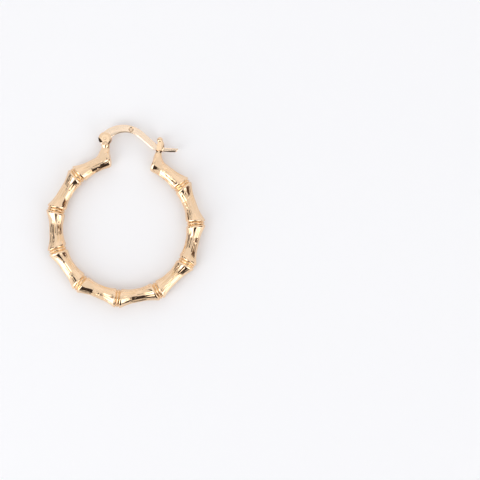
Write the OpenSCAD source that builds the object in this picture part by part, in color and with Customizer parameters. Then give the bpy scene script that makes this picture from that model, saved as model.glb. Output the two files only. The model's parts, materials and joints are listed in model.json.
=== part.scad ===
// Bamboo hoop earring with a hinged ear wire and a forked catch, lying flat.
// Lengths are in millimetres and angles in degrees. +Y points to the closure, +Z up.

/* [Hoop] */
// Distance from the hoop's centre to the straight axis of each bamboo segment
axis_r = 15.4; // [14.8:0.1:16]
// Angle from one bamboo node to the next
node_pitch = 33; // [32.6:0.1:33.2]
// Radius of a segment at its waist
waist_r = 1.55; // [1.4:0.05:1.65]
// Radius of a segment at the lips beside a node
lip_r = 2.05; // [1.95:0.05:2.2]
// Radius that rounds the lips
lip_round = 0.2; // [0.1:0.02:0.24]

/* [Node] */
// Distance between the inner faces of a node's two lips
band_w = 1; // [0.8:0.05:1.2]
// Radius of the metal at the bottom of a node's two grooves
groove_r = 1.76; // [1.7:0.02:1.84]
// Radius of the raised ridge between the grooves
ridge_r = 1.97; // [1.9:0.01:2.04]
// Width of the raised ridge
ridge_w = 0.36; // [0.24:0.02:0.5]

/* [End caps] */
// How far a cap's rim stops short of where the next node would be
cap_set_back = 0.72; // [0.6:0.02:1]
// Radius of an end segment at its cap
cap_r = 1.8; // [1.7:0.05:1.9]
// Radius that rounds a cap's rim
cap_round = 0.34; // [0.2:0.02:0.36]
// How far the dome on a cap's face bulges towards the gap
cap_dome = 0.2; // [0.1:0.02:0.2]

/* [Posts] */
// Height of both necks above the hoop's centre
neck_y = 17.4; // [17.3:0.05:17.5]
// Distance of the hinge's neck from the middle line
hinge_neck_x = 6.07; // [5.95:0.02:6.15]
// Radius of the hinge's neck
hinge_neck_r = 0.86; // [0.8:0.02:0.92]
// Distance of the catch's neck from the middle line
catch_neck_x = 6; // [5.95:0.02:6.15]
// Radius of the catch's neck
catch_neck_r = 0.7; // [0.66:0.02:0.8]
// Height of the flare under a neck
post_len = 2.7; // [2.5:0.1:2.8]
// Radius of the flare at its foot, inside the end segment
post_foot_r = 1.35; // [1.3:0.05:1.45]
// Lean of the flare away from the gap
post_lean = 15; // [12:1:18]

/* [Hinge] */
// Distance of the hinge pin from the middle line
pivot_x = 6.35; // [6.25:0.05:6.45]
// Height of the hinge pin above the hoop's centre
pivot_y = 19.4; // [19.3:0.05:19.5]
// Radius of the two round cheeks
cheek_r = 1.45; // [1.4:0.05:1.5]
// Thickness of the knuckle over both cheeks
knuckle_t = 2.2; // [2:0.05:2.4]
// Radius that rounds the cheeks' edges
cheek_round = 0.2; // [0.1:0.02:0.3]
// Radius of the hinge pin
pin_r = 0.36; // [0.3:0.02:0.42]
// Gap between the pin and its holes in the cheeks, on the radius
pin_seat = 0.01; // [0.01:0.005:0.02]

/* [Catch] */
// Distance of the fork from the middle line
fork_x = 6.06; // [6:0.02:6.1]
// Half of the prongs' width
prong_half_w = 0.88; // [0.8:0.01:0.92]
// Thickness of the fork over both prongs
fork_t = 2.1; // [2:0.05:2.3]
// Height where the prongs start to narrow, above the hoop's centre
prong_shoulder_y = 19.3; // [19.1:0.05:19.4]
// Radius of the ball on each prong's tip
ball_r = 0.65; // [0.58:0.01:0.7]
// Height of the balls' centres above the hoop's centre
ball_y = 20.2; // [20:0.05:20.3]

/* [Ear wire] */
// Thickness of the flat ear wire
wire_t = 0.9; // [0.8:0.05:1]
// Radius of the arch's outer edge
arch_out_r = 6.8; // [6.7:0.05:6.9]
// Centre of the arch's outer edge, left or right of the middle line
arch_out_x = -1.93; // [-2:0.01:-1.9]
// Centre of the arch's outer edge, above the hoop's centre
arch_out_y = 16.16; // [16.1:0.01:16.2]
// Radius of the arch's inner edge
arch_in_r = 4.76; // [4.65:0.05:4.85]
// Centre of the arch's inner edge, left or right of the middle line
arch_in_x = -1.53; // [-1.6:0.01:-1.5]
// Centre of the arch's inner edge, above the hoop's centre
arch_in_y = 16.49; // [16.45:0.01:16.52]
// Slope of the outer edge where it runs down to the catch
down_out = 36.5; // [36:0.5:37]
// Slope of the inner edge where it runs down to the catch
down_in = 35.3; // [35:0.1:36]
// Length of the outer edge's straight run down to the catch
run_out = 4.08; // [4:0.02:4.2]
// Length of the inner edge's straight run down to the catch
run_in = 3.35; // [3.3:0.01:3.36]
// Radius of the bend at the catch, on the upper edge
bend_out_r = 3; // [2.9:0.05:3.1]
// Radius of the bend at the catch, on the lower edge
bend_in_r = 3.6; // [3.5:0.05:3.62]
// Length of the tab's upper edge past the bend
tab_len = 2.72; // [2.4:0.02:3]
// Upward slope of the tab's upper edge
tab_rise = 4.5; // [3:0.5:6]
// Depth of the snap notch in the tab
notch_d = 0.2; // [0.1:0.02:0.26]
// Radius of the eye round the hinge pin
eye_r = 1.33; // [1.25:0.01:1.36]
// Running gap between the ear wire and what it turns in
running_gap = 0.03; // [0.02:0.01:0.06]
// Radius of the plain round dimple on the arch
dimple_r = 0.5; // [0.3:0.05:0.6]
// Depth of the dimple
dimple_d = 0.06; // [0.02:0.02:0.12]

/* [Hidden] */
$fn = 96;
gold = [0.93, 0.76, 0.52];
pale_gold = [0.95, 0.83, 0.64];

node_count = 9;
half_pitch = node_pitch / 2;
lip_reach = axis_r * tan(half_pitch) - band_w / 2 / cos(half_pitch);
cap_reach = axis_r * tan(half_pitch) - cap_set_back;
end_angle = node_pitch * (node_count / 2) - 180;
bow_fn = 180;        // sides of the large circles that bow the flares
edge_fn = 48;        // sides of the small circles that round the edges
drum_len = 4.2;      // the plain drum that two flares share at a waist
flare_foot = 0.4;    // where a flare leaves the inside of its drum
flare_sink = 0.03;   // how deep a flare's throat lies in its drum
rim_land = 0.06;     // the narrow straight land between a flare's bow and its round rim
dome_r = 4;          // radius of the sphere that domes a cap's face
band_lap = 0.05;     // how far a node's core reaches into each lip
band_drop = 0.11;    // how far a node's middle lies inside the corner of two axes
node_r = axis_r / cos(half_pitch) - band_drop;
slot_t = wire_t + 2 * running_gap;
slot_floor_y = pivot_y - cheek_r;
fork_floor_y = 17.72;

// Where the posts, the pin and the balls lie, from the hoop's centre
hinge_neck = [-hinge_neck_x, neck_y];
catch_neck = [catch_neck_x, neck_y];
pivot = [-pivot_x, pivot_y];

// The farthest reach of a lip below the hoop's centre: its round edge, sheared with the flare
reach_down = (lip_reach - lip_round) * sin(half_pitch) + axis_r * cos(half_pitch)
    + (lip_r - lip_round) / cos(half_pitch)
    + lip_round * norm([sin(half_pitch), 1 / cos(half_pitch)]);
reach_up = arch_out_y + arch_out_r;

function polar(r, a) = r * [cos(a), sin(a)];
function arc(c, r, from, to, steps) =
    [for (i = [0:steps]) c + polar(r, from + (to - from) * i / steps)];

// The ear wire's two edges: an arch, a straight run down and a bend into the tab
arch_out_c = [arch_out_x, arch_out_y];
arch_in_c = [arch_in_x, arch_in_y];
arch_out_start = 141.5;  // where the arch's outer edge leaves the eye
arch_in_start = 140;     // where its inner edge leaves the eye
out_run_end = arch_out_c + polar(arch_out_r, 90 - down_out) + polar(run_out, -down_out);
out_bend_c = out_run_end - polar(bend_out_r, -90 - down_out);
in_run_end = arch_in_c + polar(arch_in_r, 90 - down_in) + polar(run_in, -down_in);
in_bend_c = in_run_end - polar(bend_in_r, -90 - down_in);
tab_start = out_bend_c + polar(bend_out_r, tab_rise - 90);
tab_tip = tab_start + polar(tab_len, tab_rise);
tab_toe = tab_tip + [0.04, -0.42];
tab_floor_rise = 2.5;    // upward slope of the tab's lower edge
tab_floor = in_bend_c + polar(bend_in_r, tab_floor_rise - 90);
tab_heel = [tab_tip[0] - 0.85, tab_floor[1] + 0.14];
notch = tab_start + [0.2, 0];
notch_w = 0.32;

// A revolved flare along +Y of its plane: a throat that bows out to a rounded rim
module flare_profile(reach, rim_r, round_r) {
    throat = waist_r - flare_sink;
    rise = rim_r - throat;
    run = reach - round_r - rim_land - flare_foot;
    bow_r = (run * run + rise * rise) / (2 * rise);
    difference() {
        translate([0, flare_foot])
            square([rim_r, reach - flare_foot]);
        translate([throat + bow_r, flare_foot])
            circle(r = bow_r, $fn = bow_fn);
        difference() {
            translate([rim_r - round_r, reach - round_r])
                square(2 * round_r);
            translate([rim_r - round_r, reach - round_r])
                circle(r = round_r, $fn = edge_fn);
        }
    }
}

// Half of a segment along +X, slanted so that its rim lies parallel to the node's plane
module flare(reach, rim_r, round_r) {
    slant = tan(half_pitch);
    multmatrix([[1, slant, 0, 0], [0, 1, 0, 0], [0, 0, 1, 0]])
        rotate([0, 90, 0])
            rotate_extrude()
                flare_profile(reach, rim_r, round_r);
}

// The shallow dome that bulges from a cap's flat face
module cap_bulge() {
    root = 0.5;
    clear_of_rim = 0.1;
    translate([cap_reach, 0, 0])
        rotate([0, 0, -half_pitch])
            rotate([0, 90, 0])
                intersection() {
                    translate([0, 0, cap_dome - dome_r])
                        sphere(r = dome_r, $fn = bow_fn);
                    translate([0, 0, -root])
                        cylinder(r = cap_r - cap_round - clear_of_rim, h = 2 * root);
                }
}

module waist_drum() {
    rotate([0, 90, 0])
        cylinder(r = waist_r, h = drum_len, center = true);
}

// One of the eight whole segments, at the top of the hoop
module segment() {
    translate([0, axis_r, 0]) {
        waist_drum();
        for (side = [0, 1])
            mirror([side, 0, 0])
                flare(lip_reach, lip_r, lip_round);
    }
}

// The segment that ends in a cap, left of the gap
module end_segment() {
    rotate([0, 0, -end_angle])
        translate([0, axis_r, 0]) {
            waist_drum();
            flare(cap_reach, cap_r, cap_round);
            cap_bulge();
            mirror([1, 0, 0])
                flare(lip_reach, lip_r, lip_round);
        }
}

// The grooves' floor and the ridge between them, at the top of the hoop
module node_band() {
    translate([0, node_r, 0])
        rotate([0, 90, 0]) {
            cylinder(r = groove_r, h = band_w + 2 * band_lap, center = true);
            rotate_extrude() {
                translate([0, -ridge_w / 2])
                    square([ridge_r - ridge_w / 2, ridge_w]);
                translate([ridge_r - ridge_w / 2, 0])
                    circle(r = ridge_w / 2, $fn = edge_fn);
            }
        }
}

// A turned trumpet that widens along +Y from a neck
module trumpet(neck_r, foot_r, len) {
    rise = foot_r - neck_r;
    bow_r = (len * len + rise * rise) / (2 * rise);
    rotate([-90, 0, 0])
        rotate_extrude()
            difference() {
                square([foot_r, len]);
                translate([neck_r + bow_r, 0])
                    circle(r = bow_r, $fn = bow_fn);
            }
}

// The neck of a post with the flare that roots it in its end segment
module post(neck, neck_r, lean) {
    neck_h = 1.9;
    neck_lap = 0.1;
    flare_drop = 0.3;
    flare_inset = 0.02;
    translate([neck[0], neck[1], 0]) {
        translate([0, neck_lap, 0])
            rotate([90, 0, 0])
                cylinder(r = neck_r, h = neck_h);
        translate([0, -flare_drop, 0])
            rotate([0, 0, 180 + lean])
                trumpet(neck_r - flare_inset, post_foot_r, post_len);
    }
}

// The knuckle before its slot and holes are cut: round cheeks on a coned cup
module knuckle_blank() {
    cup_foot = hinge_neck - [0, 0.2];
    cup_inset = 0.04;
    rise = pivot - cup_foot;
    lean = atan2(rise[0], rise[1]);
    cup_len = norm(rise) - 0.3;
    rim_y = knuckle_t / 2 - cheek_round;
    wide = 4 * pivot_y;
    translate([pivot[0], pivot[1], 0])
        rotate_extrude() {
            translate([0, -knuckle_t / 2])
                square([cheek_r - cheek_round, knuckle_t]);
            translate([0, -rim_y])
                square([cheek_r, 2 * rim_y]);
            for (side = [-1, 1])
                translate([cheek_r - cheek_round, side * rim_y])
                    circle(r = cheek_round, $fn = edge_fn);
        }
    intersection() {
        translate([cup_foot[0], cup_foot[1], 0])
            rotate([-90, 0, -lean])
                cylinder(r1 = hinge_neck_r - cup_inset, r2 = cheek_r - cup_inset, h = cup_len);
        cube([wide, wide, knuckle_t - cup_inset / 2], center = true);
    }
}

module hinge_cuts() {
    slot_w = 4 * cheek_r;
    translate([pivot[0] - slot_w / 2, slot_floor_y, -slot_t / 2])
        cube([slot_w, slot_w, slot_t]);
    translate([pivot[0], pivot[1], 0])
        cylinder(r = pin_r + pin_seat, h = 2 * knuckle_t, center = true);
}

// The fork before its slot is cut: flat prongs with a ball on each tip
module fork_blank() {
    root_y = neck_y - 0.1;
    root_x = catch_neck_x - fork_x;
    belly_y = 18.2;
    tip_half_w = 0.46;
    w = prong_half_w;
    t = fork_t / 2;
    n = catch_neck_r + 0.02;
    intersection() {
        translate([fork_x, 0, -fork_t])
            linear_extrude(2 * fork_t)
                polygon([[root_x - n, root_y], [root_x + n, root_y],
                    [w, belly_y], [w, prong_shoulder_y], [tip_half_w, ball_y],
                    [-tip_half_w, ball_y], [-w, prong_shoulder_y], [-w, belly_y]]);
        translate([fork_x - 2 * w, 0, 0])
            rotate([90, 0, 90])
                linear_extrude(4 * w)
                    polygon([[root_y, -n], [belly_y, -t], [ball_y + ball_r, -t],
                        [ball_y + ball_r, t], [belly_y, t], [root_y, n]]);
    }
    for (side = [-1, 1])
        translate([fork_x, ball_y, side * ball_r])
            sphere(r = ball_r);
}

module fork_cuts() {
    slot_w = 6 * prong_half_w;
    translate([fork_x - slot_w / 2, fork_floor_y, -slot_t / 2])
        cube([slot_w, slot_w, slot_t]);
}

// Moves a shape from the hoop's centre to the part's frame, which has its origin
// under the middle of the whole earring, on the surface that the lips rest on
module placed() {
    translate([0, (reach_down - reach_up) / 2, lip_r])
        children();
}

module hoop() {
    color(gold)
        placed()
            difference() {
                union() {
                    for (i = [1:node_count - 1])
                        rotate([0, 0, 180 + (i - node_count / 2) * node_pitch])
                            segment();
                    for (i = [1:node_count])
                        rotate([0, 0, 180 + (i - (node_count + 1) / 2) * node_pitch])
                            node_band();
                    for (side = [0, 1])
                        mirror([side, 0, 0])
                            end_segment();
                    post(hinge_neck, hinge_neck_r, -post_lean);
                    post(catch_neck, catch_neck_r, post_lean);
                    knuckle_blank();
                    fork_blank();
                }
                hinge_cuts();
                fork_cuts();
            }
}

// The arch and the tab, down to the middle of the eye
module arch_outline() {
    polygon(concat(
        [pivot],
        arc(arch_out_c, arch_out_r, arch_out_start, 90 - down_out, 30),
        arc(out_bend_c, bend_out_r, -90 - down_out, tab_rise - 90, 10),
        [notch + [-notch_w / 2, 0], notch + [0, -notch_d], notch + [notch_w / 2, 0.02]],
        [tab_tip, tab_toe, tab_heel],
        arc(in_bend_c, bend_in_r, tab_floor_rise - 90, -90 - down_in, 10),
        arc(arch_in_c, arch_in_r, 90 - down_in, arch_in_start, 26)));
}

module ear_wire() {
    dimple_inset = 0.85;
    dimple_angle = 78.5;
    dimple = arch_out_c + polar(arch_out_r - dimple_inset, dimple_angle);
    color(pale_gold)
        placed()
            difference() {
                union() {
                    translate([0, 0, -wire_t / 2])
                        linear_extrude(wire_t)
                            arch_outline();
                    translate([pivot[0], pivot[1], 0])
                        cylinder(r = eye_r, h = wire_t, center = true);
                }
                translate([pivot[0], pivot[1], 0])
                    cylinder(r = pin_r + running_gap, h = 2 * wire_t, center = true);
                translate([dimple[0], dimple[1], wire_t / 2 - dimple_d])
                    cylinder(r = dimple_r, h = wire_t);
            }
}

module hinge_pin() {
    color(gold)
        placed()
            translate([pivot[0], pivot[1], 0])
                cylinder(r = pin_r, h = knuckle_t, center = true);
}

hoop();
ear_wire();
hinge_pin();
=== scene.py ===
import json
import math
import bmesh
import bpy
import numpy as np
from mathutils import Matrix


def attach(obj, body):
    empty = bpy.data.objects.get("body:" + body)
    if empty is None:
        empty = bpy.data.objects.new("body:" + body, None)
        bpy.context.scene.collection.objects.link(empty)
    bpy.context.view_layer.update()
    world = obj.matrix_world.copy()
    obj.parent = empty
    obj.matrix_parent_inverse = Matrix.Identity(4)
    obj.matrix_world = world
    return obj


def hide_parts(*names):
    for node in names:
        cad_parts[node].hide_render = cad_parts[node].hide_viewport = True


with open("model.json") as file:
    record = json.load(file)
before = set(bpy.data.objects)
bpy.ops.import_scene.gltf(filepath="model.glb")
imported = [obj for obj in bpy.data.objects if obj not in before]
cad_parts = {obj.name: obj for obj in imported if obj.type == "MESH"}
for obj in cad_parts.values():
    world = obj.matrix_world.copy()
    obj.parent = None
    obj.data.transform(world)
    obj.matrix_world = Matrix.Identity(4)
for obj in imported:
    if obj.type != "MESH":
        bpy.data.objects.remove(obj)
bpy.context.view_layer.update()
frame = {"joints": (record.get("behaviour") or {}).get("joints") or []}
mm = 0.001

# Every size below is in millimetres from the middle of the hoop, with +Y towards the closure.
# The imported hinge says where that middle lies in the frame.
hingeSpot = {"x": -6.35, "y": 19.4}
hingePlace = frame["joints"][0]["pos_m"]
hoopMiddle = np.array(hingePlace) / mm - [hingeSpot["x"], hingeSpot["y"], 0]
hoopBody = "hoop_body"
wireBody = "wire_body"


def easeStep(x):
    x = np.clip(x, 0, 1)
    return x * x * (3 - 2 * x)


def polar(radius, degrees):
    return np.array([radius * math.cos(math.radians(degrees)), radius * math.sin(math.radians(degrees))])


def turnFlat(points, degrees):
    c = math.cos(math.radians(degrees))
    s = math.sin(math.radians(degrees))
    turned = points.copy()
    turned[..., 0] = points[..., 0] * c - points[..., 1] * s
    turned[..., 1] = points[..., 0] * s + points[..., 1] * c
    return turned


def newObject(name, mesh):
    thing = bpy.data.objects.new(name, mesh)
    bpy.context.scene.collection.objects.link(thing)
    return thing


def fixNormals(mesh):
    work = bmesh.new()
    work.from_mesh(mesh)
    bmesh.ops.recalc_face_normals(work, faces=work.faces)
    work.to_mesh(mesh)
    work.free()


# Rings of points become one closed skin: quads between the rings and a fan over each end.
# The layers hold one number for each ring point, for the materials to read.
def skinRings(name, rings, layers=None):
    ringCount, sides = rings.shape[:2]
    flat = rings.reshape(-1, 3)
    ends = np.array([rings[0].mean(0), rings[-1].mean(0)])
    points = (np.vstack([flat, ends]) + hoopMiddle) * mm
    faces = []
    for i in range(ringCount - 1):
        for j in range(sides):
            k = (j + 1) % sides
            faces.append((i * sides + j, i * sides + k, (i + 1) * sides + k, (i + 1) * sides + j))
    first = ringCount * sides
    for j in range(sides):
        k = (j + 1) % sides
        faces.append((first, k, j))
        faces.append((first + 1, (ringCount - 1) * sides + j, (ringCount - 1) * sides + k))
    mesh = bpy.data.meshes.new(name)
    mesh.from_pydata(points.tolist(), [], faces)
    for label, values in (layers or {}).items():
        layer = mesh.attributes.new(label, "FLOAT", "POINT")
        layer.data.foreach_set("value", np.append(values.ravel(), [0, 0]).astype(np.float32))
    fixNormals(mesh)
    mesh.shade_smooth()
    return mesh


# A piece takes its finish, rides its body and stands for its node.
def finishPiece(thing, finish, body, node):
    thing.data.materials.clear()
    thing.data.materials.append(finish)
    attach(thing, body)
    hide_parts(node)
    return thing


def applyModifiers(thing):
    graph = bpy.context.evaluated_depsgraph_get()
    thing.data = bpy.data.meshes.new_from_object(thing.evaluated_get(graph))
    thing.modifiers.clear()
    return thing


def combine(blank, other, operation):
    step = blank.modifiers.new(operation, "BOOLEAN")
    step.operation = operation
    step.object = other
    step.solver = "EXACT"
    applyModifiers(blank)
    bpy.data.objects.remove(other)


# Joins solids to a blank and cuts others out of it, then breaks its sharp edges.
def carve(blank, joined, cut, edge=0, edgeRows=3, edgeAngle=38):
    for other in joined:
        combine(blank, other, "UNION")
    for other in cut:
        combine(blank, other, "DIFFERENCE")
    if edge > 0:
        bevel = blank.modifiers.new("edges", "BEVEL")
        bevel.width = edge * mm
        bevel.segments = edgeRows
        bevel.limit_method = "ANGLE"
        bevel.angle_limit = math.radians(edgeAngle)
        bevel.harden_normals = True
        applyModifiers(blank)
    return blank


# Curved faces are shaded smooth, and edges sharper than the angle stay sharp
def flattenFaces(thing, angle):
    thing.data.shade_smooth()
    thing.data.set_sharp_from_angle(angle=math.radians(angle))


weldGap = 0.0005        # points closer than this become one
sliverWidth = 0.0002    # and edges shorter than this are dissolved


# Takes out the slivers that the cuts leave behind
def weld(thing):
    work = bmesh.new()
    work.from_mesh(thing.data)
    bmesh.ops.remove_doubles(work, verts=work.verts, dist=weldGap * mm)
    bmesh.ops.dissolve_degenerate(work, edges=work.edges, dist=sliverWidth * mm)
    work.to_mesh(thing.data)
    work.free()


# Gold for the hoop and a paler gold for the wire, both with painted shade, deeper and darker, in the
# recesses

goldLook = {
    "hoop": {"color": (0.935, 0.685, 0.462), "shadeColor": (0.86, 0.55, 0.27), "roughness": 0.075,
             "grain": 0.5, "wander": 0.16},
    # the wire's painted shade colour is only in its round mark
    "wire": {"color": (0.965, 0.765, 0.58), "shadeColor": (0.52, 0.32, 0.18), "roughness": 0.16,
             "grain": 0.3, "wander": 0.04},
    "cloudScale": 900,
    "rubScale": 2600,
    "polishRange": (0.7, 1.4),      # shares of the roughness
    "grainHeight": 0.004,
}


def goldMaterial(name, look):
    finish = bpy.data.materials.new(name)
    finish.use_nodes = True
    nodes = finish.node_tree.nodes
    link = finish.node_tree.links.new
    shader = nodes["Principled BSDF"]
    shader.inputs["Metallic"].default_value = 1
    place = nodes.new("ShaderNodeTexCoord")
    clouds = nodes.new("ShaderNodeTexNoise")
    clouds.inputs["Scale"].default_value = goldLook["cloudScale"]
    clouds.inputs["Detail"].default_value = 3
    link(place.outputs["Object"], clouds.inputs["Vector"])
    # painted shade: the gold turns deeper and darker in the recesses, and also a little from place to
    # place at random
    recessShade = nodes.new("ShaderNodeAttribute")
    recessShade.attribute_name = "recessShade"
    wander = nodes.new("ShaderNodeMath")
    wander.operation = "MULTIPLY_ADD"
    wander.inputs[1].default_value = look["wander"]
    wander.inputs[2].default_value = -look["wander"] / 4
    link(clouds.outputs["Fac"], wander.inputs[0])
    share = nodes.new("ShaderNodeMath")
    share.operation = "ADD"
    share.use_clamp = True
    link(recessShade.outputs["Fac"], share.inputs[0])
    link(wander.outputs[0], share.inputs[1])
    blend = nodes.new("ShaderNodeMix")
    blend.data_type = "RGBA"
    blend.inputs["A"].default_value = (*look["color"], 1)
    blend.inputs["B"].default_value = (*look["shadeColor"], 1)
    link(share.outputs[0], blend.inputs["Factor"])
    link(blend.outputs["Result"], shader.inputs["Base Color"])
    # tiny differences in the polish
    rub = nodes.new("ShaderNodeTexNoise")
    rub.inputs["Scale"].default_value = goldLook["rubScale"]
    rub.inputs["Detail"].default_value = 4
    link(place.outputs["Object"], rub.inputs["Vector"])
    polish = nodes.new("ShaderNodeMapRange")
    for edge, factor in zip(("To Min", "To Max"), goldLook["polishRange"]):
        polish.inputs[edge].default_value = look["roughness"] * factor
    link(rub.outputs["Fac"], polish.inputs["Value"])
    link(polish.outputs["Result"], shader.inputs["Roughness"])
    bump = nodes.new("ShaderNodeBump")
    bump.inputs["Strength"].default_value = look["grain"]
    bump.inputs["Distance"].default_value = goldLook["grainHeight"] * mm
    link(rub.outputs["Fac"], bump.inputs["Height"])
    link(bump.outputs["Normal"], shader.inputs["Normal"])
    return finish


hoopGold = goldMaterial("polishedGold", goldLook["hoop"])
wireGold = goldMaterial("wireGold", goldLook["wire"])
print("materials made")

# The ten bamboo segments, each with two flared ends and engraved bark lines

bamboo = {
    "axisRadius": 15.4,     # hoop's middle to the straight axis of a segment
    "pitch": 33,            # degrees from one node to the next
    "waistRadius": 1.55,
    "waistHalf": 0.4,       # each flare starts this far from the middle
    "flareSink": 0.03,      # and this deep under the waist
    "leanLength": 3.2,      # over which the sections turn from one node's plane to the other's
    "lipRadius": 2.05,
    "lipRound": 0.33,
    "lipLand": 0.22,        # the plain land on each lip
    "bandWidth": 0.74,      # between the two lips of a node
    "capRadius": 1.8,
    "capRound": 0.34,
    "capSetBack": 0.72,
    "capDome": 0.2,
    "sides": 256,
    "wallRows": 100,
    "rimRows": 8,
    "faceRings": (0.93, 0.8, 0.6, 0.4, 0.2),    # shares of the end face's radius
    # the engraved bark lines on a segment, the fine ones and then the deep ones
    "barkLines": [
        {"count": 84, "spread": 3.6, "length": (1, 4), "width": (0.055, 0.09), "depth": (0.02, 0.045)},
        {"count": 16, "spread": 2.2, "length": (1.5, 4), "width": (0.09, 0.15), "depth": (0.04, 0.09)},
    ],
    "lineSlant": 0.03,      # radians round for each millimetre along
    "deepest": 0.14,        # no line goes deeper, also where lines cross
    "fadeLength": 0.2,      # the lines fade out over this length, up to the plain land
    # painted shade: the engraved lines are darkened in colour by their depth
    "recessShadeGain": 6,        # how much deeper the gold turns for each millimetre of depth
    # one for each segment
    "seeds": [105, 222, 309, 420, 510, 612, 721, 819, 916, 1012],
}
nodeCount = 9
halfPitch = bamboo["pitch"] / 2
slantFull = math.tan(math.radians(halfPitch))
capSides = {1: 1, nodeCount + 1: -1}    # the end segments and the end that each cap is on


# Where the middle of a segment lies round the hoop, in degrees
def segmentAngle(number):
    return 270 - bamboo["pitch"] * (nodeCount + 1) / 2 + bamboo["pitch"] * (number - 0.5)


# How far the sections lean, so that both ends of a segment lie flat on their nodes
def leanAt(u):
    return slantFull * (2 * easeStep(u / bamboo["leanLength"] + 0.5) - 1)


def flareRadius(u, reach, rimRadius, rimRound):
    throat = bamboo["waistRadius"] - bamboo["flareSink"]
    rise = rimRadius - throat
    run = reach - rimRound - bamboo["lipLand"] - bamboo["waistHalf"]
    bow = (run * run + rise * rise) / (2 * rise)
    along = np.clip(u - bamboo["waistHalf"], 0, run)
    return np.maximum(bamboo["waistRadius"], throat + bow - np.sqrt(bow * bow - along * along))


# Half of a segment's section line, from the waist to the middle of its end face
def halfStations(reach, rimRadius, rimRound, dome):
    wallEnd = reach - rimRound
    u = np.linspace(0, wallEnd, bamboo["wallRows"] // 2)
    r = flareRadius(u, reach, rimRadius, rimRound)
    turn = np.radians(np.linspace(0, 90, bamboo["rimRows"])[1:])
    uRim = wallEnd + rimRound * np.sin(turn)
    rRim = rimRadius - rimRound + rimRound * np.cos(turn)
    rFace = (rimRadius - rimRound) * np.array(bamboo["faceRings"])
    uFace = reach + dome * (1 - (rFace / (rimRadius - rimRound)) ** 2)
    return np.concatenate([u, uRim, uFace]), np.concatenate([r, rRim, rFace])


# Lines engraved along the bark, each one tapered at both ends, at random places all round
def barkRelief(u, theta, radius, wallReach, random):
    relief = np.zeros_like(theta)
    for kind in bamboo["barkLines"]:
        for i in range(kind["count"]):
            middle = random.uniform(-kind["spread"], kind["spread"])
            turn = random.uniform(0, 2 * math.pi)
            length = random.uniform(*kind["length"])
            width = random.uniform(*kind["width"])
            depth = random.uniform(*kind["depth"])
            slant = random.uniform(-bamboo["lineSlant"], bamboo["lineSlant"])
            off = np.angle(np.exp(1j * (theta - turn - slant * (u - middle)))) * radius
            taper = np.sqrt(np.clip(1 - ((u - middle) / (length / 2)) ** 2, 0, None))
            relief -= depth * taper * np.exp(-0.5 * (off / width) ** 2)
    fade = easeStep((wallReach - np.abs(u)) / bamboo["fadeLength"])
    return np.maximum(relief, -bamboo["deepest"]) * fade


def makeSegment(number, angle, capSide):
    halfBand = bamboo["bandWidth"] / 2 / math.cos(math.radians(halfPitch))
    lipReach = bamboo["axisRadius"] * slantFull - halfBand
    capReach = bamboo["axisRadius"] * slantFull - bamboo["capSetBack"]
    lip = (lipReach, bamboo["lipRadius"], bamboo["lipRound"], 0)
    cap = (capReach, bamboo["capRadius"], bamboo["capRound"], bamboo["capDome"])
    left = cap if capSide < 0 else lip
    right = cap if capSide > 0 else lip
    uLeft, rLeft = halfStations(*left)
    uRight, rRight = halfStations(*right)
    u = np.concatenate([-uLeft[::-1], uRight[1:]])[:, None]
    r = np.concatenate([rLeft[::-1], rRight[1:]])[:, None]
    onWall = (u > -(left[0] - left[2])) & (u < right[0] - right[2])
    theta = np.linspace(0, 2 * math.pi, bamboo["sides"], endpoint=False)[None, :]
    random = np.random.default_rng(bamboo["seeds"][number - 1])
    wallReach = min(left[0] - left[2], right[0] - right[2]) - bamboo["lipLand"]
    u, r, theta = np.broadcast_arrays(u, r, theta)
    relief = barkRelief(u, theta, r, wallReach, random) * onWall
    y = (r + relief) * np.cos(theta)
    z = (r + relief) * np.sin(theta)
    rings = np.stack([u + leanAt(u) * y, y + bamboo["axisRadius"], z], -1)
    # painted shade along the engraved bark lines, darker where they are deeper
    recessShade = -relief * bamboo["recessShadeGain"]
    mesh = skinRings(f"segment_{number}", turnFlat(rings, angle - 90), {"recessShade": recessShade})
    return newObject(f"segment_{number}", mesh)


for number in range(1, nodeCount + 2):
    piece = makeSegment(number, segmentAngle(number), capSides.get(number, 0))
    finishPiece(piece, hoopGold, hoopBody, "hoop")
print("segments made")

# The nine nodes, each a raised ridge between two grooves

nodeBand = {
    "drop": 0.19,           # how far a node's middle lies inside the corner of two axes
    "halfWidth": 0.56,
    "grooveRadius": 1.82,
    "ridgeRadius": 2.03,
    "ridgeHalf": 0.2,
    "wobble": 0.012,        # how far each wave moves the ridge to and fro
    "waves": (3, 5, 9),     # waves round one node
    "waveTurn": 6.3,        # each wave starts anywhere in about one turn
    "swell": 0.5,           # how much of the wobble goes into the radius
    "ridgeShade": 0.1,      # how deep the gold is on top of the ridge
    "firstSeed": 400,
    "sides": 160,
    "rows": 49,
}


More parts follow.
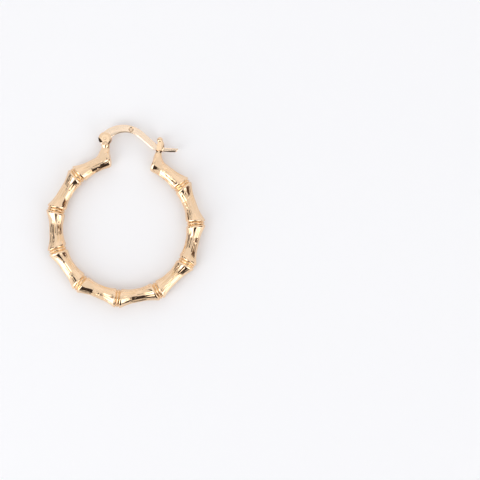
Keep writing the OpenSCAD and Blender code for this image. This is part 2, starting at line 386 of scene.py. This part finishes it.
def makeNode(number, angle):
    middle = bamboo["axisRadius"] / math.cos(math.radians(halfPitch)) - nodeBand["drop"]
    x = np.linspace(-nodeBand["halfWidth"], nodeBand["halfWidth"], nodeBand["rows"])[:, None]
    theta = np.linspace(0, 2 * math.pi, nodeBand["sides"], endpoint=False)[None, :]
    random = np.random.default_rng(nodeBand["firstSeed"] + number)
    wobble = sum(nodeBand["wobble"] * np.cos(n * theta + random.uniform(0, nodeBand["waveTurn"]))
                 for n in nodeBand["waves"])
    ridge = np.sqrt(np.clip(1 - ((x - wobble) / nodeBand["ridgeHalf"]) ** 2, 0, None))
    depth = 1 - ridge
    r = nodeBand["ridgeRadius"] - (nodeBand["ridgeRadius"] - nodeBand["grooveRadius"]) * depth
    r = r + wobble * nodeBand["swell"]
    y = r * np.cos(theta) + middle
    z = r * np.sin(theta)
    rings = np.stack([x + 0 * theta, y, z], -1)
    # painted shade: full in the grooves between the lips, a tenth of it on top of the ridge
    recessShade = depth * (1 - nodeBand["ridgeShade"]) + nodeBand["ridgeShade"]
    mesh = skinRings(f"node_{number}", turnFlat(rings, angle - 90), {"recessShade": recessShade})
    return newObject(f"node_{number}", mesh)


for number in range(1, nodeCount + 1):
    angle = 270 + bamboo["pitch"] * (number - (nodeCount + 1) / 2)
    finishPiece(makeNode(number, angle), hoopGold, hoopBody, "hoop")
print("nodes made")

# The two posts, each a neck that widens and melts into its end segment

post = {
    # from the neck down into the segment: (x, y, half width across, half thickness)
    "hinge": [(-6.02, 18.1, 0.84, 0.8), (-6.02, 17.75, 0.84, 0.74), (-6.03, 17.4, 0.87, 0.7),
              (-6.1, 16.9, 0.98, 0.82), (-6.2, 16.2, 1.16, 0.96), (-6.35, 15.3, 1.3, 1.02),
              (-6.5, 14.4, 1.3, 0.92), (-6.6, 13.6, 1.3, 0.8)],
    "catch": [(5.92, 17.9, 0.7, 0.65), (5.88, 17.6, 0.67, 0.65), (5.85, 17.3, 0.69, 0.66),
              (5.83, 16.8, 0.84, 0.8), (5.8, 16.1, 1.06, 1.0), (5.9, 15.2, 1.25, 0.95),
              (6.1, 14.4, 1.25, 0.8), (6.3, 13.6, 1.2, 0.8)],
    "blend": 0.6,           # how far the fillet reaches
    "sink": 0.03,           # how deep the skin dives under the segment's bark
    "reach": 2.5,           # how far out from its spine the skin is looked for
    "capBlend": 0.4,        # softens the corner between a segment's wall and its cap
    "smoothings": 60,       # how often the spine and its widths are evened out
    "halvings": 24,         # steps that close in on the skin
    "leanSteps": 5,
    "rows": 72,
    "sides": 144,
}


# What a fillet adds where two skins come closer to each other than the blend
def filletGain(a, b, blend):
    return np.clip(blend - np.abs(a - b), 0, None) ** 2 / 4 / blend


# How far a place lies outside an end segment
def outsideSegment(places, angle, capSide):
    local = turnFlat(places, 90 - angle)
    x = local[..., 0]
    y = local[..., 1] - bamboo["axisRadius"]
    u = x.copy()
    for step in range(post["leanSteps"]):
        u = x - leanAt(u) * y
    capReach = bamboo["axisRadius"] * slantFull - bamboo["capSetBack"]
    wall = flareRadius(np.abs(u), capReach, bamboo["capRadius"], bamboo["capRound"])
    side = np.hypot(y, local[..., 2]) - wall
    end = capSide * u - capReach
    return np.maximum(side, end) + filletGain(side, end, post["capBlend"])


def makePost(name, stations, angle, capSide):
    stations = np.array(stations)
    t = np.linspace(0, len(stations) - 1, post["rows"])
    x, y, wide, thick = [np.interp(t, range(len(stations)), stations[:, i]) for i in range(4)]
    for smoothing in range(post["smoothings"]):
        for line in (x, y, wide, thick):
            line[1:-1] = (line[:-2] + 2 * line[1:-1] + line[2:]) / 4
    heading = np.gradient(np.stack([x, y], 1), axis=0)
    heading /= np.linalg.norm(heading, axis=1)[:, None]
    theta = np.linspace(0, 2 * math.pi, post["sides"], endpoint=False)
    across = wide[:, None] * np.cos(theta)
    arm = np.stack([-heading[:, 1:] * across, heading[:, :1] * across, thick[:, None] * np.sin(theta)], -1)
    spine = np.stack([x, y, 0 * x], -1)[:, None, :]
    size = np.linalg.norm(arm, axis=-1)
    near = np.ones_like(size)
    far = post["reach"] / size
    for step in range(post["halvings"]):
        middle = (near + far) / 2
        own = (middle - 1) * size
        other = outsideSegment(spine + middle[..., None] * arm, angle, capSide) + post["sink"]
        both = np.minimum(own, other) - filletGain(own, other, post["blend"])
        near = np.where(both < 0, middle, near)
        far = np.where(both < 0, far, middle)
    return newObject(name, skinRings(name, spine + near[..., None] * arm, {"recessShade": 0 * near}))


for name, stations, number in (("hinge_post", post["hinge"], 1),
                               ("catch_post", post["catch"], nodeCount + 1)):
    piece = makePost(name, stations, segmentAngle(number), capSides[number])
    finishPiece(piece, hoopGold, hoopBody, "hoop")
print("posts made")


# Solids of revolution, boxes and slabs that the closure is carved from.
# Where one only cuts, it reaches this far up and down, well past every piece.
farOut = 4


def turnedSolid(name, profile, origin, axis, sides=96):
    u = np.array([p[0] for p in profile], float)[:, None]
    r = np.array([p[1] for p in profile], float)[:, None]
    theta = np.linspace(0, 2 * math.pi, sides, endpoint=False)[None, :]
    axis = np.array(axis, float) / np.linalg.norm(axis)
    first = np.cross(axis, [0, 0, 1]) if abs(axis[2]) < 0.9 else np.array([1.0, 0, 0])
    first /= np.linalg.norm(first)
    second = np.cross(axis, first)
    rings = (np.array(origin, float) + u[..., None] * axis
             + (r * np.cos(theta))[..., None] * first + (r * np.sin(theta))[..., None] * second)
    return newObject(name, skinRings(name, rings))


# A solid between two loops of as many points
def prism(name, bottom, top):
    work = bmesh.new()
    loops = [[work.verts.new((np.array(spot) + hoopMiddle) * mm) for spot in loop]
             for loop in (bottom, top)]
    work.faces.new(loops[0])
    work.faces.new(loops[1])
    for i in range(len(bottom)):
        k = (i + 1) % len(bottom)
        work.faces.new((loops[0][i], loops[0][k], loops[1][k], loops[1][i]))
    bmesh.ops.recalc_face_normals(work, faces=work.faces)
    mesh = bpy.data.meshes.new(name)
    work.to_mesh(mesh)
    work.free()
    return newObject(name, mesh)


def slab(name, outline, low, high):
    return prism(name, [(x, y, low) for x, y in outline], [(x, y, high) for x, y in outline])


def boxOf(name, x0, x1, y0, y1, z0, z1):
    return slab(name, [(x0, y0), (x1, y0), (x1, y1), (x0, y1)], z0, z1)


# The section line of a disc with rounded edges, out from a hub on each face
def roundedEdge(radius, half, edge, steps=6, hub=0.4):
    turn = np.radians(np.linspace(0, 90, steps))
    top = [(half - edge + edge * math.sin(t), radius - edge + edge * math.cos(t)) for t in turn]
    bottom = [(-u, r) for u, r in reversed(top)]
    return [(-half, radius * hub)] + bottom + top + [(half, radius * hub)]


# A cutter over an outline, whose floor is a plane that falls towards one azimuth
def facetCutter(outline, spot, azimuth, tilt, side):
    fall = polar(math.tan(math.radians(tilt)), azimuth)
    floor = [(x, y, (spot[2] - fall[0] * (x - spot[0]) - fall[1] * (y - spot[1])) * side)
             for x, y in outline]
    return prism("facet", floor, [(x, y, farOut * side) for x, y in outline])


# The hinge knuckle: two round cheeks on a coned cup, slotted for the ear wire

knuckle = {
    "cheekRadius": 1.45,
    "thickness": 2.2,
    "edge": 0.16,
    "footX": -6.05,
    "footY": 17.35,
    "footRadius": 0.74,
    "coneRadius": 1.3,
    "coneTop": 0.95,
    "coneSink": 0.3,        # how far the cone reaches into the post
    "coneShort": 0.3,       # and how far it stops before the pin
    "button": (-6.1, 18.16, 0.5, 0.3),      # the small round boss on the cone: middle, radius and edge
    "buttonSink": 0.02,
    "around": (-10, -3, 16, 23),            # a box wider than the knuckle: x and y
    # the facets on each cheek: (outline, where the floor starts, azimuth and tilt of its fall)
    "facets": [
        ([(-7.7, 19.5), (-7.2, 19.15), (-6.75, 18.55), (-6.5, 17.9), (-7, 18.1), (-8.6, 18.3),
          (-8.6, 19.5)], (-7.5, 19.9, 1.1), 264, 24),
        ([(-5.2, 19.1), (-4.2, 19.1), (-4.2, 17.9), (-5.6, 17.9), (-5.46, 18.6)],
         (-5.2, 19.05, 1.1), 280, 26),
        ([(-6.7, 18.5), (-6.1, 18.9), (-5.55, 18.6), (-5.55, 17.8), (-6.5, 17.8)],
         (-6.1, 18.9, 1.1), 278, 9),
    ],
    "pinHole": 0.365,
    "slot": 0.96,
}


def makeKnuckle():
    k = knuckle
    pivot = (hingeSpot["x"], hingeSpot["y"], 0)
    half = k["thickness"] / 2
    cheeks = turnedSolid("knuckle", roundedEdge(k["cheekRadius"], half, k["edge"]), pivot, (0, 0, 1))
    foot = (k["footX"], k["footY"], 0)
    rise = np.array(pivot) - foot
    length = np.linalg.norm(rise) - k["coneShort"]
    coneShape = [(-k["coneSink"], k["footRadius"]), (0, k["footRadius"]), (length, k["coneRadius"])]
    cone = turnedSolid("cone", coneShape, foot, rise)
    left, right, low, high = k["around"]
    for bottom, top in ((k["coneTop"], farOut), (-farOut, -k["coneTop"])):
        carve(cone, [], [boxOf("trim", left, right, low, high, bottom, top)])
    cutters = [facetCutter(*facet, side) for facet in k["facets"] for side in (1, -1)]
    carve(cheeks, [cone], cutters)
    x, y, radius, edge = k["button"]
    buttonShape = roundedEdge(radius, half - k["buttonSink"], edge, steps=8)
    button = turnedSolid("button", buttonShape, (x, y, 0), (0, 0, 1), sides=72)
    slotFloor = hingeSpot["y"] - k["cheekRadius"]
    slot = boxOf("slot", left, right, slotFloor, high, -k["slot"] / 2, k["slot"] / 2)
    boreShape = [(-farOut, k["pinHole"]), (farOut, k["pinHole"])]
    bore = turnedSolid("bore", boreShape, pivot, (0, 0, 1), sides=48)
    return carve(cheeks, [button], [slot, bore])


knucklePiece = makeKnuckle()
weld(knucklePiece)
flattenFaces(knucklePiece, angle=10)
finishPiece(knucklePiece, hoopGold, hoopBody, "hoop")

# The pin through the knuckle and the wire's eye
hingePin = {"radius": 0.36, "length": 2.2, "edge": 0.005}
pinShape = roundedEdge(hingePin["radius"], hingePin["length"] / 2, hingePin["edge"], steps=4)
pin = turnedSolid("rivet", pinShape, (hingeSpot["x"], hingeSpot["y"], 0), (0, 0, 1), sides=48)
flattenFaces(pin, angle=30)
finishPiece(pin, hoopGold, hoopBody, "hinge_pin")
print("hinge made")

# The catch: a leaf-shaped fork with a ball on each prong, slotted for the wire's tab

fork = {
    "outline": [(5.32, 17.45), (6.46, 17.45), (6.78, 17.95), (6.95, 18.5), (6.96, 19.1), (6.88, 19.6),
                (6.6, 20.15), (5.4, 20.15), (5.5, 19.6), (5.42, 18.95), (5.34, 18.3), (5.3, 17.95)],
    "side": [(17.45, 0.5), (17.86, 0.6), (17.98, 1.05), (21, 1.05)],     # half thickness on the way up
    # the right facet of each prong, as on the knuckle
    "facet": ([(6.38, 17), (8, 17), (8, 21), (6.38, 21)], (6.38, 19, 1.05), 0, 20),
    "ball": (5.92, 20.3, 0.64),     # middle and radius
    "ballRows": 30,
    "ballPole": 4,          # degrees left flat at each end of a ball
    "slot": 0.96,
    "slotFloor": 17.72,
    "softEdge": 0.06,
    "around": (3, 9, 23),   # wider than the fork: x, and above it
}


def makeFork():
    f = fork
    side = [(y, -z) for y, z in f["side"]] + [(y, z) for y, z in reversed(f["side"])]
    left, right, top = f["around"]
    prongs = slab("fork", f["outline"], -farOut, farOut)
    sideView = prism("side", [(left, y, z) for y, z in side], [(right, y, z) for y, z in side])
    combine(prongs, sideView, "INTERSECT")
    carve(prongs, [], [facetCutter(*f["facet"], side) for side in (1, -1)])
    # the slot is cut before the balls join the prongs, and once more after
    half = f["slot"] / 2
    slots = [boxOf("slot", left, right, f["slotFloor"], top, -half, half) for i in range(2)]
    carve(prongs, [], slots[:1], f["softEdge"])
    x, y, radius = f["ball"]
    turn = np.radians(np.linspace(f["ballPole"], 180 - f["ballPole"], f["ballRows"]))
    ball = [(-radius * math.cos(a), radius * math.sin(a)) for a in turn]
    balls = [turnedSolid("ball", ball, (x, y, z * radius), (0, 1, 0), sides=64) for z in (-1, 1)]
    return carve(prongs, balls, slots[1:])


forkPiece = makeFork()
weld(forkPiece)
flattenFaces(forkPiece, angle=10)
finishPiece(forkPiece, hoopGold, hoopBody, "hoop")
print("catch made")

# The flat ear wire: an arch, a straight run down and a tab, on an eye round the pin

wire = {
    "thickness": 0.9,
    "edge": 0.22,
    # the outer and the inner edge of the arch
    "outRadius": 6.8, "outX": -1.93, "outY": 16.16, "outStart": 141.5,
    "inRadius": 4.76, "inX": -1.53, "inY": 16.49, "inStart": 140,
    # degrees down, the length of the straight run, and the bend after it
    "downOut": 36.5, "runOut": 4.08, "bendOut": 2.5,
    "downIn": 35.3, "runIn": 3.35, "bendIn": 3.6,
    # the tab, and the degrees that it rises along its upper and its lower edge
    "tabLength": 3.21, "tabRise": 1.5, "tabUnderRise": 2.5,
    "archSteps": 60, "innerSteps": 50, "bendSteps": 14, "edgeSteps": 5,
    # the tab's blunt end and its lower edge, from its upper corner
    "tabEnd": [(0, 0), (0.03, -0.34), (-0.25, -0.72), (-0.62, -0.87), (-1.5, -0.97), (-2.8, -0.99)],
    "notch": (7.36, 18.79, 0.16),       # middle and radius
    # the two facets along the tab's lower edge, as on the knuckle
    "tabFacets": [
        ([(6.95, 17.98), (9.35, 18.21), (9.6, 18.02), (9.3, 17.3), (6.95, 17.3)],
         (6.95, 17.98, 0.462), 275.4, 33),
        ([(7.05, 17.72), (9.95, 17.995), (9.95, 17.2), (7.05, 17.2)], (7.05, 17.72, 0.3), 275.4, 62),
    ],
    "eyeRadius": 1.33, "eyeHole": 0.39, "eyeSteps": 60, "holeSides": 48,
    "eyeGap": 3,        # degrees left between the eye's arc and each end of the arch
    "dimpleRadius": 0.54, "dimpleFloor": 0.38, "dimpleDepth": 0.07,
    "dimpleInset": 0.85, "dimpleAngle": 78.5,
    "dimpleShade": 0.4,     # how deep the gold is on the dimple's floor
}


def arcPoints(centre, radius, start, end, steps):
    return [centre + polar(radius, start + (end - start) * i / steps) for i in range(steps + 1)]


def wireOutline():
    w = wire
    outC = np.array([w["outX"], w["outY"]])
    inC = np.array([w["inX"], w["inY"]])
    outEnd = outC + polar(w["outRadius"], 90 - w["downOut"]) + polar(w["runOut"], -w["downOut"])
    outBend = outEnd - polar(w["bendOut"], -90 - w["downOut"])
    inEnd = inC + polar(w["inRadius"], 90 - w["downIn"]) + polar(w["runIn"], -w["downIn"])
    inBend = inEnd - polar(w["bendIn"], -90 - w["downIn"])
    tabStart = outBend + polar(w["bendOut"], w["tabRise"] - 90)
    tabTip = tabStart + polar(w["tabLength"], w["tabRise"])
    pivot = np.array([hingeSpot["x"], hingeSpot["y"]])
    points = arcPoints(outC, w["outRadius"], w["outStart"], 90 - w["downOut"], w["archSteps"])
    points += arcPoints(outBend, w["bendOut"], -90 - w["downOut"], w["tabRise"] - 90, w["bendSteps"])
    points += [tabTip + np.array(step) for step in w["tabEnd"]]
    points += arcPoints(inBend, w["bendIn"], w["tabUnderRise"] - 90, -90 - w["downIn"], w["bendSteps"])
    points += arcPoints(inC, w["inRadius"], 90 - w["downIn"], w["inStart"], w["innerSteps"])
    fromPoint = points[-1] - pivot
    toPoint = points[0] - pivot
    start = math.degrees(math.atan2(fromPoint[1], fromPoint[0]))
    end = math.degrees(math.atan2(toPoint[1], toPoint[0]))
    if end > start:
        end -= 360
    points += arcPoints(pivot, w["eyeRadius"], start - w["eyeGap"], end + w["eyeGap"], w["eyeSteps"])
    return points


def makeWire():
    w = wire
    shape = bpy.data.curves.new("ear_wire", "CURVE")
    shape.dimensions = "2D"
    shape.fill_mode = "BOTH"
    pivot = np.array([hingeSpot["x"], hingeSpot["y"]])
    hole = arcPoints(pivot, w["eyeHole"], 0, 360 - 360 / w["holeSides"], w["holeSides"] - 1)
    for points in (wireOutline(), hole):
        spline = shape.splines.new("POLY")
        spline.points.add(len(points) - 1)
        for spot, p in zip(spline.points, points):
            spot.co = ((p[0] + hoopMiddle[0]) * mm, (p[1] + hoopMiddle[1]) * mm, 0, 1)
        spline.use_cyclic_u = True
    shape.extrude = (w["thickness"] / 2 - w["edge"]) * mm
    shape.bevel_depth = w["edge"] * mm
    shape.bevel_resolution = w["edgeSteps"]
    shape.offset = -w["edge"] * mm
    flat = newObject("wireShape", shape)
    graph = bpy.context.evaluated_depsgraph_get()
    mesh = bpy.data.meshes.new_from_object(flat.evaluated_get(graph))
    bpy.data.objects.remove(flat)
    work = bmesh.new()
    work.from_mesh(mesh)
    bmesh.ops.remove_doubles(work, verts=work.verts, dist=weldGap * mm)
    bmesh.ops.translate(work, verts=work.verts, vec=(0, 0, hoopMiddle[2] * mm))
    bmesh.ops.recalc_face_normals(work, faces=work.faces)
    work.to_mesh(mesh)
    work.free()
    piece = newObject("flat_wire", mesh)
    spot = np.array([w["outX"], w["outY"]]) + polar(w["outRadius"] - w["dimpleInset"], w["dimpleAngle"])
    level = w["thickness"] / 2
    slope = (w["dimpleRadius"] - w["dimpleFloor"]) / w["dimpleDepth"]
    above = 0.2     # the cutter's cone goes on this far above the wire
    bowl = [(level - w["dimpleDepth"], w["dimpleFloor"]),
            (level + above, w["dimpleRadius"] + above * slope)]
    cutter = turnedSolid("dimple", bowl, (spot[0], spot[1], 0), (0, 0, 1), sides=64)
    x, y, radius = w["notch"]
    notch = turnedSolid("notch", [(-farOut, radius), (farOut, radius)], (x, y, 0), (0, 0, 1), sides=32)
    facets = [facetCutter(*facet, side) for facet in w["tabFacets"] for side in (1, -1)]
    carve(piece, [], [cutter, notch] + facets)
    # painted shade: the faces inside the dimple take the mark's dark shaded colour, and those on its floor
    # part of it
    middles = np.array([f.center for f in piece.data.polygons]) / mm - hoopMiddle
    away = np.hypot(middles[:, 0] - spot[0], middles[:, 1] - spot[1])
    margin = 0.001
    inside = (away < w["dimpleRadius"]) & (middles[:, 2] > 0) & (middles[:, 2] < level - margin)
    floor = middles[:, 2] < level - w["dimpleDepth"] + margin
    recessShade = piece.data.attributes.new("recessShade", "FLOAT", "FACE")
    shade = np.where(inside, np.where(floor, w["dimpleShade"], 1.0), 0.0)
    recessShade.data.foreach_set("value", shade.astype(np.float32))
    flattenFaces(piece, angle=18)
    return piece


finishPiece(makeWire(), wireGold, wireBody, "ear_wire")
print("ear wire made")

# The table, the two soft boxes, the dark panels, the pale far wall and the pale room

studio = {
    "tableSize": 6,
    "tableColor": (0.885, 0.885, 0.905),
    "tableRoughness": 0.3,
    "tableGlow": 0.07,
    "room": 0.93,
    "roomColor": (0.985, 0.99, 1),
    "distance": 0.5,        # metres from the hoop to every panel
    "panelColor": (0.01, 0.01, 0.01),
    # each one: (azimuth of its middle, degrees wide, lowest and highest elevation, brightness)
    "softBoxes": {"keyBox": (222, 32, 5, 70, 2), "fillBox": (325, 45, 10, 52, 1.25)},
    "panels": {
        "darkGap": (280, 56, 0, 52, 0.02),
        "overGap": (275, 38, 30, 75, 0.02),
        "leftEdge": (175, 30, 0, 20, 0.02),
        "rightEdge": (0, 25, 0, 50, 0.1),
        "farWall": (90, 65, 18, 62, 1),
        "leftTop": (175, 28, 34, 58, 0.02),
    },
    "darkTint": (1, 0.55, 0.4),     # colour of the faint glow on the dark panels
    "darkBelow": 0.2,               # panels less bright than this are dark
    "discHeight": 460,
    "discColor": (0.02, 0.02, 0.02),
    # overhead, each one: (x, y, radius, brightness)
    "discs": {"lensDisc": (25, 0, 35, 0.35), "topLight": (-33, 47, 30, 1.1)},
}


# Where an upright panel stands so that the earring sees it between those angles
def panelPlace(azimuth, wide, low, high):
    distance = studio["distance"]
    bottom = distance * math.tan(math.radians(low))
    top = distance * math.tan(math.radians(high))
    x, y = polar(distance, azimuth)
    middle = (x + hoopMiddle[0] * mm, y + hoopMiddle[1] * mm, (bottom + top) / 2)
    width = 2 * distance * math.tan(math.radians(wide / 2))
    return middle, width, top - bottom, (math.radians(90), 0, math.radians(azimuth + 90))


def plainMaterial(name, color, roughness, glow, glowColor=(1, 1, 1)):
    finish = bpy.data.materials.new(name)
    finish.use_nodes = True
    shader = finish.node_tree.nodes["Principled BSDF"]
    shader.inputs["Base Color"].default_value = (*color, 1)
    shader.inputs["Roughness"].default_value = roughness
    shader.inputs["Emission Color"].default_value = (*glowColor, 1)
    shader.inputs["Emission Strength"].default_value = glow
    return finish


bpy.ops.mesh.primitive_plane_add(size=studio["tableSize"])
table = bpy.context.object
table.name = "table"
table.data.materials.append(plainMaterial("whiteTable", studio["tableColor"],
                                          studio["tableRoughness"], studio["tableGlow"]))

for name, (azimuth, wide, low, high, glow) in studio["softBoxes"].items():
    middle, width, height, turn = panelPlace(azimuth, wide, low, high)
    lamp = bpy.data.lights.new(name, "AREA")
    lamp.shape = "RECTANGLE"
    lamp.size = width
    lamp.size_y = height
    lamp.energy = glow * math.pi * width * height
    box = bpy.data.objects.new(name, lamp)
    box.location = middle
    box.rotation_euler = turn
    box.visible_camera = False
    bpy.context.scene.collection.objects.link(box)

for name, (azimuth, wide, low, high, glow) in studio["panels"].items():
    middle, width, height, turn = panelPlace(azimuth, wide, low, high)
    bpy.ops.mesh.primitive_plane_add(size=1)
    panel = bpy.context.object
    panel.name = name
    panel.scale = (width, height, 1)
    panel.rotation_euler = turn
    panel.location = middle
    panel.visible_camera = False
    tint = studio["darkTint"] if glow < studio["darkBelow"] else (1, 1, 1)
    panel.data.materials.append(plainMaterial(name, studio["panelColor"], roughness=1, glow=glow,
                                              glowColor=tint))

for name, (x, y, radius, glow) in studio["discs"].items():
    bpy.ops.mesh.primitive_circle_add(radius=radius * mm, fill_type="NGON", vertices=64)
    disc = bpy.context.object
    disc.name = name
    disc.location = tuple((np.array([x, y, studio["discHeight"]]) + hoopMiddle) * mm)
    disc.rotation_euler = (math.radians(180), 0, 0)
    disc.visible_camera = False
    disc.data.materials.append(plainMaterial(name, studio["discColor"], roughness=1, glow=glow))

room = bpy.data.worlds.new("paleRoom")
room.use_nodes = True
room.node_tree.nodes["Background"].inputs["Color"].default_value = (*studio["roomColor"], 1)
room.node_tree.nodes["Background"].inputs["Strength"].default_value = studio["room"]
bpy.context.scene.world = room
print("studio made")

# The camera looks straight down, and the hoop lies left of the middle of its view

view = {
    "hoopPixel": (124.9, 227.7),    # where the hoop's middle lies in the 480 pixel picture
    "pixel": 0.224,                 # millimetres across one pixel
    "turn": 5.6,                    # degrees that the earring is turned in the picture
    "distance": 420,
    "sensor": 36,
    "nearest": 0.01,
    "pictureSide": 480,
}
lens = bpy.data.cameras.new("camera")
lens.sensor_width = view["sensor"]
lens.lens = view["sensor"] * view["distance"] / (view["pictureSide"] * view["pixel"])
lens.clip_start = view["nearest"]
right = (view["pictureSide"] / 2 - view["hoopPixel"][0]) * view["pixel"]
up = (view["hoopPixel"][1] - view["pictureSide"] / 2) * view["pixel"]
spot = turnFlat(np.array([right, up, view["distance"]]), view["turn"]) + hoopMiddle
camera = bpy.data.objects.new("camera", lens)
camera.location = spot * mm
camera.rotation_euler = (0, 0, math.radians(view["turn"]))
bpy.context.scene.collection.objects.link(camera)
bpy.context.scene.camera = camera
bpy.context.scene.view_settings.view_transform = "Standard"
print("camera made")
